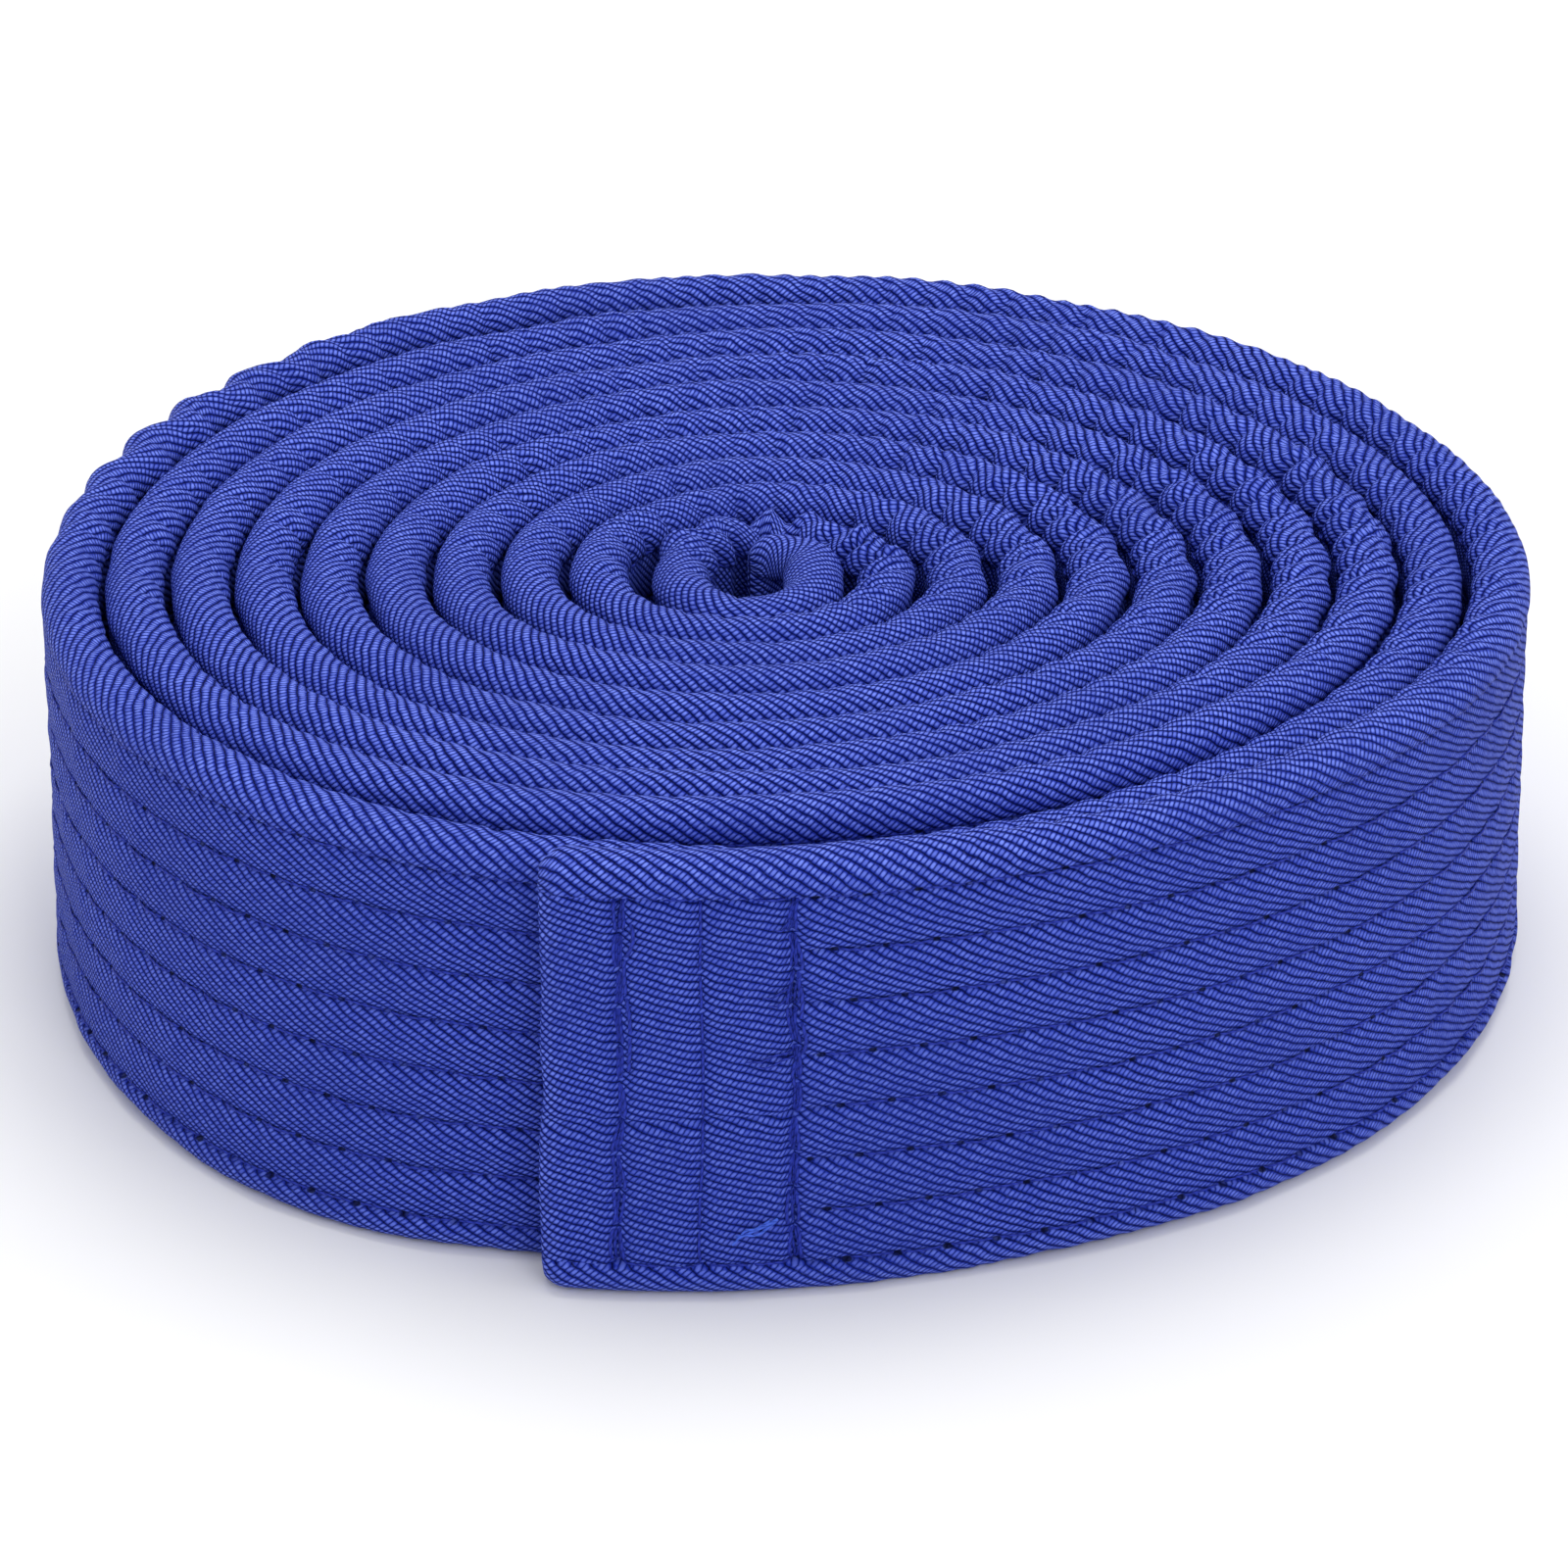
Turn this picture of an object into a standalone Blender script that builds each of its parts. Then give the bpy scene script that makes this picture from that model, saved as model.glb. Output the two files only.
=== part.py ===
"""A martial arts belt, rolled up in a single-layer spiral and standing on its long edge.

The belt is a folded cotton cover around three plies of core, quilted by eight rows of
lockstitch and finished with a box stitch at each end. Its outer end, the tail, peels away
from the roll about an upright line on the belt's outer face.

Frame: metres, +Z up, origin at the middle of the base. Angles are counterclockwise from +X,
and "wound" is the angle in degrees that the belt has turned inwards from its outer end.
"""

import math

import bmesh
import bpy
from mathutils import Vector

MM = 0.001

# The belt, laid flat
BELT_WIDTH = 40.0 * MM
BELT_THICKNESS = 4.6 * MM
COVER_CLOTH = 0.6 * MM
EDGE_ROUNDING = 1.2 * MM
EDGE_FOLD = 1.4 * MM
END_WALL = 1.0 * MM
SEAM_HEIGHT = 16.0 * MM
SEAM_OPENING = 0.4 * MM
CLEARANCE = 0.3 * MM

# Core plies, from the roll's outside to its inside
PLY_NAMES = ("outer", "middle", "inner")
PLY_THICKNESS = 0.7 * MM
PLY_EDGE_MARGIN = 1.8 * MM

# Stitching
ROW_COUNT = 8
ROW_EDGE_MARGIN = 3.2 * MM
THREAD_WIDTH = 0.5 * MM
THREAD_THICKNESS = 0.25 * MM
THREAD_CLEARANCE = 0.2 * MM
BOX_NEAR_END = 7.0 * MM
BOX_FAR_END = 23.0 * MM
BOX_BAR = 8.0 * MM
BOX_EDGE_MARGIN = 2.2 * MM
ROW_START = BOX_FAR_END + 1.2 * MM

# The roll, seen from above
OUTER_END_ANGLE = 254.0
TURNS = 10.61
FIRST_CORNER = -4.0
ROW_END_CORNER = 356.0
FIRST_RADIUS = 71.5 * MM
LAP_PITCH = 6.32 * MM
ROLL_CENTRE = (-2.104 * MM, -1.585 * MM)
EYE_TURNS = 10.5
SHIFT_RIGHT = 0.28 * MM
SHIFT_RIGHT_PER_TURN = -0.126 * MM
SHIFT_BACK = 2.68 * MM
SHIFT_BACK_PER_TURN = -0.41 * MM
EYE_SHIFT_BACK = 1.0 * MM
OVAL = 0.9 * MM
EYE_OVAL = 2.5 * MM
SKEW_OVAL = 1.85 * MM
SLACK = 1.8 * MM
SLACK_AT = 220.0
SLACK_SPREAD = 38.0
PINCH = 1.2 * MM
PINCH_AT = 3526.0
PINCH_SPREAD = 45.0
CURL_RADIUS = 4.6 * MM
CURL_FROM = 3580.0
CURL_OVER = 170.0
TAIL_ANGLE = 56.0
HINGE_STANDOFF = 0.7 * MM
FINE_TURNS = 3.0
FINE_STEP = 20.0
COARSE_STEP = 30.0

FABRIC_BLUE = (0.010, 0.030, 0.330, 1.0)
THREAD_BLUE = (0.008, 0.022, 0.250, 1.0)
CORE_WHITE = (0.74, 0.72, 0.66, 1.0)


def clear_scene():
    for obj in list(bpy.data.objects):
        bpy.data.objects.remove(obj, do_unlink=True)


def material(name, colour, roughness):
    made = bpy.data.materials.new(name)
    made.use_nodes = True
    shader = made.node_tree.nodes["Principled BSDF"]
    shader.inputs["Base Color"].default_value = colour
    shader.inputs["Roughness"].default_value = roughness
    shader.inputs["Metallic"].default_value = 0.0
    return made


# ---------------------------------------------------------------- the spiral


def middle_radius(wound):
    """Distance from the roll's centre to the belt's middle surface: an even spiral, a little
    off centre and oval, with a slack stretch in the outermost lap, a narrow eye and an inner
    end that curls round on itself."""
    angle = math.radians(OUTER_END_ANGLE + wound)
    turns = wound / 360.0
    depth = turns / EYE_TURNS
    off_centre = (SHIFT_RIGHT + SHIFT_RIGHT_PER_TURN * turns) * math.cos(angle)
    back = SHIFT_BACK + SHIFT_BACK_PER_TURN * turns + EYE_SHIFT_BACK * depth**4
    off_centre += back * math.sin(angle)
    oval = (OVAL - EYE_OVAL * depth**4) * math.cos(2 * angle)
    oval += SKEW_OVAL * (1 - depth) * math.sin(2 * angle)
    slack = SLACK * math.exp(-(((wound - SLACK_AT) / SLACK_SPREAD) ** 2))
    pinch = PINCH * math.exp(-(((wound - PINCH_AT) / PINCH_SPREAD) ** 2))
    radius = FIRST_RADIUS - LAP_PITCH * turns + off_centre + oval + slack - pinch
    share = min(max((wound - CURL_FROM) / CURL_OVER, 0.0), 1.0)
    curl = share * share * (3.0 - 2.0 * share)
    return radius + curl * (CURL_RADIUS - radius)


def middle_point(wound):
    angle = math.radians(OUTER_END_ANGLE + wound)
    radius = middle_radius(wound)
    return Vector(
        (
            ROLL_CENTRE[0] + radius * math.cos(angle),
            ROLL_CENTRE[1] + radius * math.sin(angle),
            0.0,
        )
    )


def outward(wound):
    """Unit normal of the belt's middle surface, pointing out of the roll."""
    along = middle_point(wound + 0.5) - middle_point(wound - 0.5)
    return Vector((along.y, -along.x, 0.0)).normalized()


def corner_after(corner):
    return corner + (FINE_STEP if corner < FINE_TURNS * 360.0 else COARSE_STEP)


def corner_angles():
    """Wound angles of the corners between the belt's flat facets. They fall on the same
    angles in each lap, so that facing facets lie parallel."""
    corners = [FIRST_CORNER]
    while corners[-1] < TURNS * 360.0:
        corners.append(corner_after(corners[-1]))
    return corners


CORNERS = corner_angles()


def place(wound, out, height):
    """The point on the faceted belt at a wound angle, a distance out of its middle surface
    and a height."""
    index = max(i for i, corner in enumerate(CORNERS) if corner <= wound)
    before, after = CORNERS[index], CORNERS[index + 1]
    ends = [middle_point(corner) + outward(corner) * out for corner in (before, after)]
    point = ends[0].lerp(ends[1], (wound - before) / (after - before))
    point.z = height
    return point


def wound_after(wound, distance):
    """The wound angle reached by following the belt a distance inwards, or outwards where
    the distance is negative."""
    step = math.copysign(0.25, distance)
    left = abs(distance)
    while left > 0:
        left -= (middle_point(wound + step) - middle_point(wound)).length
        wound += step
    return wound


def stations(first, last):
    """Wound angles of the cross-sections between two: the ends and each facet corner."""
    return [first] + [corner for corner in CORNERS if first < corner < last] + [last]


# ---------------------------------------------------------------- sections


def closed_at_seam(out, corners):
    """An outline as (out, height) points, from just above the seam on the inner side round
    over the top, down the outer side and back to just below the seam."""
    above, below = SEAM_HEIGHT + SEAM_OPENING / 2, SEAM_HEIGHT - SEAM_OPENING / 2
    return [(-out, above)] + corners + [(-out, below)]


def sleeve_outline():
    """The outside of the cover, with its two long edges rounded."""
    side = BELT_THICKNESS / 2
    flat, top = side - EDGE_ROUNDING, BELT_WIDTH - EDGE_ROUNDING
    corners = [(-side, top), (-flat, BELT_WIDTH), (flat, BELT_WIDTH), (side, top)]
    corners += [(side, EDGE_ROUNDING), (flat, 0.0), (-flat, 0.0), (-side, EDGE_ROUNDING)]
    return closed_at_seam(side, corners)


def pocket_outline():
    """The inside of the cover, whose cloth is doubled where it folds over the long edges."""
    side, top = BELT_THICKNESS / 2 - COVER_CLOTH, BELT_WIDTH - EDGE_FOLD
    corners = [(-side, top), (side, top), (side, EDGE_FOLD), (-side, EDGE_FOLD)]
    return closed_at_seam(side, corners)


def strip_outline(out, low, high, thickness):
    return [
        (out - thickness / 2, low),
        (out - thickness / 2, high),
        (out + thickness / 2, high),
        (out + thickness / 2, low),
    ]


# ---------------------------------------------------------------- solids


def finish_object(name, mesh_data, surface, pivot):
    """Closes the mesh, shades its round sides smooth and puts its origin at the pivot."""
    bmesh.ops.recalc_face_normals(mesh_data, faces=mesh_data.faces[:])
    bmesh.ops.translate(mesh_data, verts=mesh_data.verts[:], vec=-pivot)
    mesh = bpy.data.meshes.new(name)
    mesh_data.to_mesh(mesh)
    mesh_data.free()
    mesh.shade_smooth()
    mesh.set_sharp_from_angle(angle=math.radians(35.0))
    mesh.materials.append(surface)
    obj = bpy.data.objects.new(name, mesh)
    bpy.context.scene.collection.objects.link(obj)
    obj.location = pivot
    return obj


def ring_of(mesh_data, wound, outline):
    return [mesh_data.verts.new(place(wound, out, height)) for out, height in outline]


def bridge(mesh_data, first, second, closed=True):
    count = len(first)
    for i in range(count if closed else count - 1):
        j = (i + 1) % count
        mesh_data.faces.new((first[i], first[j], second[j], second[i]))


def swept(name, outline, angles, surface, pivot):
    """A solid strip: one outline carried along the belt."""
    mesh_data = bmesh.new()
    rings = [ring_of(mesh_data, wound, outline) for wound in angles]
    for first, second in zip(rings, rings[1:]):
        bridge(mesh_data, first, second)
    mesh_data.faces.new(rings[0])
    mesh_data.faces.new(rings[-1])
    return finish_object(name, mesh_data, surface, pivot)


def cover(name, angles, tip, surface, pivot):
    """The cloth sleeve, open along its lap seam, closed over the core at its tip. The tip is
    the first angle where tip is 0, and the last where tip is -1."""
    mesh_data = bmesh.new()
    wall = wound_after(angles[tip], END_WALL if tip == 0 else -END_WALL)
    between = [w for w in angles if w != angles[tip]]
    sleeve = [wall] + between if tip == 0 else between + [wall]
    outer = {w: ring_of(mesh_data, w, sleeve_outline()) for w in sleeve}
    inner = {w: ring_of(mesh_data, w, pocket_outline()) for w in sleeve}
    for first, second in zip(sleeve, sleeve[1:]):
        bridge(mesh_data, outer[first], outer[second], closed=False)
        bridge(mesh_data, inner[first], inner[second], closed=False)
        for end in (0, -1):
            mesh_data.faces.new(
                (outer[first][end], inner[first][end], inner[second][end], outer[second][end])
            )
    open_end = sleeve[-1] if tip == 0 else sleeve[0]
    mesh_data.faces.new(outer[open_end] + inner[open_end][::-1])
    tip_ring = ring_of(mesh_data, angles[tip], sleeve_outline())
    bridge(mesh_data, tip_ring, outer[wall])
    mesh_data.faces.new(tip_ring)
    seam_side = [outer[wall][0], outer[wall][-1]]
    mesh_data.faces.new(inner[wall] + [seam_side[1], seam_side[0]])
    return finish_object(name, mesh_data, surface, pivot)


def row_height(row):
    spacing = (BELT_WIDTH - 2 * ROW_EDGE_MARGIN) / (ROW_COUNT - 1)
    return BELT_WIDTH - ROW_EDGE_MARGIN - row * spacing


def thread_offset(side):
    """Where a thread's middle lies: on the belt's outer face (+1) or inner face (-1)."""
    return side * (BELT_THICKNESS / 2 + THREAD_CLEARANCE + THREAD_THICKNESS / 2)


def row_thread(name, row, side, angles, surface, pivot):
    low = row_height(row) - THREAD_WIDTH / 2
    outline = strip_outline(thread_offset(side), low, low + THREAD_WIDTH, THREAD_THICKNESS)
    return swept(name, outline, angles, surface, pivot)


def box_thread(name, near, far, side, surface, pivot):
    """A box stitch with a bar down its middle, between two wound angles: cells of a grid
    over the belt's face, filled where thread lies and left out where cloth shows."""
    middle = thread_offset(side)
    bar = wound_after(near, BOX_FAR_END - BOX_NEAR_END - BOX_BAR)
    filled_spans = [
        (near, wound_after(near, THREAD_WIDTH)),
        (bar, wound_after(bar, THREAD_WIDTH)),
        (wound_after(far, -THREAD_WIDTH), far),
    ]
    columns = sorted(set(stations(near, far)) | {end for span in filled_spans for end in span})
    low, high = BOX_EDGE_MARGIN, BELT_WIDTH - BOX_EDGE_MARGIN
    rows = [low, low + THREAD_WIDTH, high - THREAD_WIDTH, high]

    def is_filled(column, row):
        if not (0 <= column < len(columns) - 1 and 0 <= row < len(rows) - 1):
            return False
        in_upright = any(start <= columns[column] < end for start, end in filled_spans)
        return in_upright or row != 1

    mesh_data = bmesh.new()
    grids = [
        [[mesh_data.verts.new(place(w, out, z)) for z in rows] for w in columns]
        for out in (middle - THREAD_THICKNESS / 2, middle + THREAD_THICKNESS / 2)
    ]
    for i in range(len(columns) - 1):
        for j in range(len(rows) - 1):
            if not is_filled(i, j):
                continue
            for grid in grids:
                mesh_data.faces.new((grid[i][j], grid[i + 1][j], grid[i + 1][j + 1], grid[i][j + 1]))
            walls = [
                ((i - 1, j), (i, j), (i, j + 1)),
                ((i + 1, j), (i + 1, j), (i + 1, j + 1)),
                ((i, j - 1), (i, j), (i + 1, j)),
                ((i, j + 1), (i, j + 1), (i + 1, j + 1)),
            ]
            for neighbour, (a, b), (c, d) in walls:
                if not is_filled(*neighbour):
                    mesh_data.faces.new((grids[0][a][b], grids[0][c][d], grids[1][c][d], grids[1][a][b]))
    bmesh.ops.delete(
        mesh_data, geom=[v for v in mesh_data.verts if not v.link_faces], context="VERTS"
    )
    return finish_object(name, mesh_data, surface, pivot)


# ---------------------------------------------------------------- the belt


def add_length(suffix, angles, tip, surfaces, pivot):
    """The cover and the core plies of one length of belt, all the way between its ends."""
    cover("cover_" + suffix, angles, tip, surfaces["cover"], pivot)
    inset = END_WALL + CLEARANCE
    core_angles = list(angles)
    core_angles[tip] = wound_after(angles[tip], inset if tip == 0 else -inset)
    spacing = PLY_THICKNESS + CLEARANCE
    low, high = PLY_EDGE_MARGIN, BELT_WIDTH - PLY_EDGE_MARGIN
    for index, ply in enumerate(PLY_NAMES):
        outline = strip_outline((1 - index) * spacing, low, high, PLY_THICKNESS)
        swept("core_ply_" + ply + "_" + suffix, outline, core_angles, surfaces["core"], pivot)


def add_rows(suffix, angles, surface, pivot):
    for row in range(ROW_COUNT):
        label = "row_%d_" % (row + 1)
        row_thread(label + "needle_thread_" + suffix, row, 1, angles, surface, pivot)
        row_thread(label + "bobbin_thread_" + suffix, row, -1, angles, surface, pivot)


def build():
    clear_scene()
    surfaces = {
        "cover": material("cotton_twill", FABRIC_BLUE, 0.75),
        "core": material("core_cloth", CORE_WHITE, 0.9),
        "thread": material("stitching_thread", THREAD_BLUE, 0.55),
    }
    last = TURNS * 360.0
    half_gap = math.degrees(CLEARANCE / 2 / middle_radius(TAIL_ANGLE))
    tail_end, roll_start = TAIL_ANGLE - half_gap, TAIL_ANGLE + half_gap
    hinge = place(TAIL_ANGLE, BELT_THICKNESS / 2 + HINGE_STANDOFF, 0.0)
    base = Vector((0.0, 0.0, 0.0))

    add_length("tail", stations(0.0, tail_end), 0, surfaces, hinge)
    add_length("roll", stations(roll_start, last), -1, surfaces, base)

    rows_from = wound_after(0.0, ROW_START)
    add_rows("tail", stations(rows_from, tail_end), surfaces["thread"], hinge)
    add_rows("roll", stations(roll_start, ROW_END_CORNER), surfaces["thread"], base)

    outer_box = (wound_after(0.0, BOX_NEAR_END), wound_after(0.0, BOX_FAR_END), hinge)
    inner_box = (wound_after(last, -BOX_FAR_END), wound_after(last, -BOX_NEAR_END), base)
    for end, (near, far, pivot) in (("outer", outer_box), ("inner", inner_box)):
        for side, kind in ((1, "needle"), (-1, "bobbin")):
            name = "%s_end_box_%s_thread" % (end, kind)
            box_thread(name, near, far, side, surfaces["thread"], pivot)


build()
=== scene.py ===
"""The finished look of the rolled martial arts belt: quilted cotton twill, rows of lockstitch,
a box stitch at each end and loose thread ends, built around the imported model.

Lengths are in millimetres until a mesh is made. "Wound" is the angle in degrees that the belt
has turned inwards from its outer end, "length" the distance along its middle surface, "out"
the distance out of that surface, and "height" the distance up from its lower edge.
"""

import math

import bpy
import numpy as np
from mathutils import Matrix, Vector


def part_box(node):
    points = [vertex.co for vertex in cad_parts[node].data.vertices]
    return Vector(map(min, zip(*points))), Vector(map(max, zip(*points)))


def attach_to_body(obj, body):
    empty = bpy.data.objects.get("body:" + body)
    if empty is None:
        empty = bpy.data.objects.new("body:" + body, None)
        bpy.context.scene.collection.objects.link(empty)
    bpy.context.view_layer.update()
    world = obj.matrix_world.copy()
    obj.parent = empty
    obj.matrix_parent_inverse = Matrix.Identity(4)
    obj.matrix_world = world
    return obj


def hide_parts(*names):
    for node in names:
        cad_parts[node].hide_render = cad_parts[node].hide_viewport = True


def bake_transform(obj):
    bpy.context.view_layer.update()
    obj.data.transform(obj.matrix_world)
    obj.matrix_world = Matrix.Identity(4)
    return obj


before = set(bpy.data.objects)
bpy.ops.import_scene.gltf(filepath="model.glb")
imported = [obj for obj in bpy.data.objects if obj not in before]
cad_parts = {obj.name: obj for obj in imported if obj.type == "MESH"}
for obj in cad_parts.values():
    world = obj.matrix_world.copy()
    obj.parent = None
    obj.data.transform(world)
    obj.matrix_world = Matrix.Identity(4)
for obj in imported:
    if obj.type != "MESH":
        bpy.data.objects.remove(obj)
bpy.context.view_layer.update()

MM = 0.001

# The belt and its winding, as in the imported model
BELT_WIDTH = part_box("cover_roll")[1].z / MM
ROW_COUNT = 8
ROW_LOW = 3.2
ROW_SPACING = (BELT_WIDTH - 2 * ROW_LOW) / (ROW_COUNT - 1)
ROW_HIGH = BELT_WIDTH - ROW_LOW
OUTER_END_ANGLE = 254.0
LAST_WOUND = 10.61 * 360.0
FIRST_RADIUS = 71.5
LAP_PITCH = 6.32
ROLL_CENTRE = np.array((-2.104, -1.585))
EYE_TURNS = 10.5
CURL_RADIUS = 4.6
CURL_FROM, CURL_TO = 3580.0, 3750.0
SHIFT_RIGHT, SHIFT_RIGHT_PER_TURN = 0.28, -0.126
SHIFT_BACK, SHIFT_BACK_PER_TURN, EYE_SHIFT_BACK = 2.68, -0.41, 1.0
OVAL, EYE_OVAL, SKEW_OVAL = 0.9, 2.5, 1.85
SLACK, SLACK_AT, SLACK_SPREAD = 1.8, 220.0, 38.0
PINCH, PINCH_AT, PINCH_SPREAD = 1.2, 3526.0, 45.0

# The quilted section
ROW_HALF = 2.15
CROWN_HALF = 2.62
TAB_HALF = 2.42
RIM_HALF = 2.68
RIM_CENTRE = BELT_WIDTH - 2.45
RIM_RADIUS = 2.45
RIM_FROM = math.radians(-14.0)
RIM_SAMPLES, LOW_RIM_SAMPLES = 18, 8
RIM_START, RIM_GIRTH = 0.2, 8.8
STITCH = 4.4
ROW_STAGGER, BOBBIN_STAGGER = 0.37, 0.5
ROW_THREAD_WIDE, ROW_THREAD_TALL = 0.13, 0.11

# The end tabs, from the tip
BOX_NEAR, BOX_BAR, BOX_FAR = 7.0, 14.2, 22.0
BOX_GROOVES = ((BOX_NEAR, 0.95), (BOX_BAR, 0.5), (BOX_FAR, 1.05))
ROWS_FROM = 23.2
TIP_REACH, TIP_REACH_OVER = 0.9, 60.0
TIP_TAPER = 2.2
CORNER_CUT, CORNER_OVER, LOWER_CORNER = 1.6, 2.4, 0.4
SEAM_HEIGHT = 16.0
TAB_CREASES = (10.0, 22.5, 28.2)
TAB_SWELL = 0.16
BOX_STITCH = 3.4

# Twill
RIB_ALONG, RIB_AT_EYE = 1.62, 0.85
BEAD = 0.44
RIBS_STEEP, RIBS_FLAT = 1.0, 0.24
FACE_SLOPE = math.radians(27.0)
RIM_SLOPE = math.radians(32.0)
TAB_SLOPE = math.radians(16.0)
TAB_PITCH = 0.68
WORN_AND_HIGHLIT_EDGE, WORN_AND_HIGHLIT_TIP = 3.4, 1.5

# Detail
FINE_STEP, COARSE_STEP = 0.55, 0.7
FINE_PUFF = (0.0, 0.05, 0.13, 0.25, 0.4, 0.6, 0.75, 0.87, 0.95)
COARSE_PUFF = (0.0, 0.13, 0.5, 0.87)
FINE_TO = 432.0
BOBBIN_TO = 356.0
BLEND_FROM, BLEND_TO = 62.0, 50.0
TAIL_TO = 64.0

# How this roll has settled, in millimetres and degrees, fitted to the photo by its outline
FOOT_FLARE, FOOT_FLARE_TOWARDS = 4.4, 240.0
RIGHT_FLARE, RIGHT_FLARE_AT, RIGHT_FLARE_SPREAD = 1.8, 68.0, 30.0
TIP_FLARE, TIP_FLARE_OVER = 1.7, 34.0
FREE_OVER, FREE_FOOT, FREE_LEAN = 100.0, 0.2, 0.9
SET_BACK, SET_BACK_MORE, SET_BACK_OVER = 1.2, 1.6, 30.0
TOP_TILT = 1.1
EDGE_WAVER, EDGE_WAVER_OVER = 0.3, 41.0
WRINKLES_TOWARDS, WRINKLES_SPREAD, WRINKLES_FROM, WRINKLES_FULL = 18.0, 30.0, 400.0, 900.0
WRINKLE_DEPTH = 0.38
EYE_FOLD, EYE_FOLD_DIP, EYE_FOLD_DEPTH = 5.2, 1.1, 1.9
EYE_FOLDS_BETWEEN = (3330.0, 3440.0, 3640.0, 3760.0)
PUCKERED_TOWARDS = 55.0
CRIMP, CRIMP_LENGTH, CRIMP_AT, CRIMP_SPREAD = 0.9, 9.0, 254.0, 20.0
LOWEST = 0.02


def smoothstep(x, low, high):
    share = np.clip((x - low) / (high - low), 0.0, 1.0)
    return share * share * (3.0 - 2.0 * share)


def noise(u, v, seed):
    """Smooth value noise from -1 to 1 over a lattice of unit cells."""
    lattice = np.random.default_rng(seed).random((128, 128)) * 2.0 - 1.0
    u, v = np.broadcast_arrays(u, v)
    column, row = np.floor(u).astype(int), np.floor(v).astype(int)
    x, y = smoothstep(u - column, 0.0, 1.0), smoothstep(v - row, 0.0, 1.0)
    corner = lambda i, j: lattice[(column + i) % 128, (row + j) % 128]
    near = corner(0, 0) * (1 - x) + corner(1, 0) * x
    far = corner(0, 1) * (1 - x) + corner(1, 1) * x
    return near * (1 - y) + far * y


# ---------------------------------------------------------------- the winding


def middle_radius(wound):
    """The radius of the belt's middle surface: a spiral that is off centre and oval, slack in
    its outermost lap, pinched near the eye and curled at its inner end."""
    angle = np.radians(OUTER_END_ANGLE + wound)
    turns = wound / 360.0
    depth = turns / EYE_TURNS
    back = SHIFT_BACK + SHIFT_BACK_PER_TURN * turns + EYE_SHIFT_BACK * depth**4
    off_centre = (SHIFT_RIGHT + SHIFT_RIGHT_PER_TURN * turns) * np.cos(angle)
    off_centre = off_centre + back * np.sin(angle)
    oval = (OVAL - EYE_OVAL * depth**4) * np.cos(2 * angle)
    oval = oval + SKEW_OVAL * (1 - depth) * np.sin(2 * angle)
    slack = SLACK * np.exp(-(((wound - SLACK_AT) / SLACK_SPREAD) ** 2))
    pinch = PINCH * np.exp(-(((wound - PINCH_AT) / PINCH_SPREAD) ** 2))
    radius = FIRST_RADIUS - LAP_PITCH * turns + off_centre + oval + slack - pinch
    return radius + smoothstep(wound, CURL_FROM, CURL_TO) * (CURL_RADIUS - radius)


def middle_point(wound):
    angle = np.radians(OUTER_END_ANGLE + wound)
    radius = middle_radius(wound)
    return np.stack([np.cos(angle) * radius, np.sin(angle) * radius], -1) + ROLL_CENTRE


TABLE_WOUND = np.arange(-4.0, LAST_WOUND + 6.0, 0.1)
TABLE_LENGTH = np.concatenate(
    [[0.0], np.cumsum(np.linalg.norm(np.diff(middle_point(TABLE_WOUND), axis=0), axis=1))]
)
TABLE_LENGTH -= np.interp(0.0, TABLE_WOUND, TABLE_LENGTH)


def wound_at(length):
    return np.interp(length, TABLE_LENGTH, TABLE_WOUND)


def length_at(wound):
    return np.interp(wound, TABLE_WOUND, TABLE_LENGTH)


BELT_LENGTH = float(length_at(LAST_WOUND))

# How far each lap's upper edge stands up at the front of the roll, from the outermost lap in
FRONT_RISE = (2.5, -0.3, 1.8, 1.3, 0.4, 0.3, 0.4, 0.6, -0.1, 0.3, -0.2)
FRONT_ANGLE = 280.0


def rise(wound):
    """How much taller than its width the belt stands, where laps have slipped up or down: at
    the front lap by lap, at the back by a tilt from left to right."""
    angle = np.radians(OUTER_END_ANGLE + wound - FRONT_ANGLE)
    at_front = np.clip(0.5 + 0.5 * np.cos(angle), 0.0, 1.0) ** 3
    lap = (wound + OUTER_END_ANGLE - 270.0) / 360.0
    slipped = np.interp(lap, np.arange(len(FRONT_RISE)), FRONT_RISE)
    world = np.radians(OUTER_END_ANGLE + wound)
    tilt = TOP_TILT * np.cos(world) * np.clip(np.sin(world) + 0.6, 0.0, 1.0)
    tilt = tilt * (1.0 - wound / LAST_WOUND)
    waver = EDGE_WAVER * noise(wound / EDGE_WAVER_OVER, 0.5, 11)
    return slipped * at_front - tilt + waver - EYE_FOLD_DIP * eye_folds(wound)


def right_wrinkles(wound):
    """Where the laps at the right are gathered most, from 0 to 1."""
    off = (OUTER_END_ANGLE + wound - WRINKLES_TOWARDS + 180.0) % 360.0 - 180.0
    inwards = smoothstep(wound, WRINKLES_FROM, WRINKLES_FULL)
    return np.exp(-((off / WRINKLES_SPREAD) ** 2)) * inwards


def eye_folds(wound):
    """Pointed folds at the back of the innermost lap, from 0 to 1."""
    at_back = np.clip(np.sin(np.radians(OUTER_END_ANGLE + wound)), 0.0, 1.0)
    begin, full, fade, end = EYE_FOLDS_BETWEEN
    innermost = smoothstep(wound, begin, full) * (1.0 - smoothstep(wound, fade, end))
    turn = length_at(wound) / EYE_FOLD + 0.25 * noise(length_at(wound) / 6.0, 0.5, 37)
    return innermost * at_back * np.abs(2.0 * (turn % 1.0) - 1.0)


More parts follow.
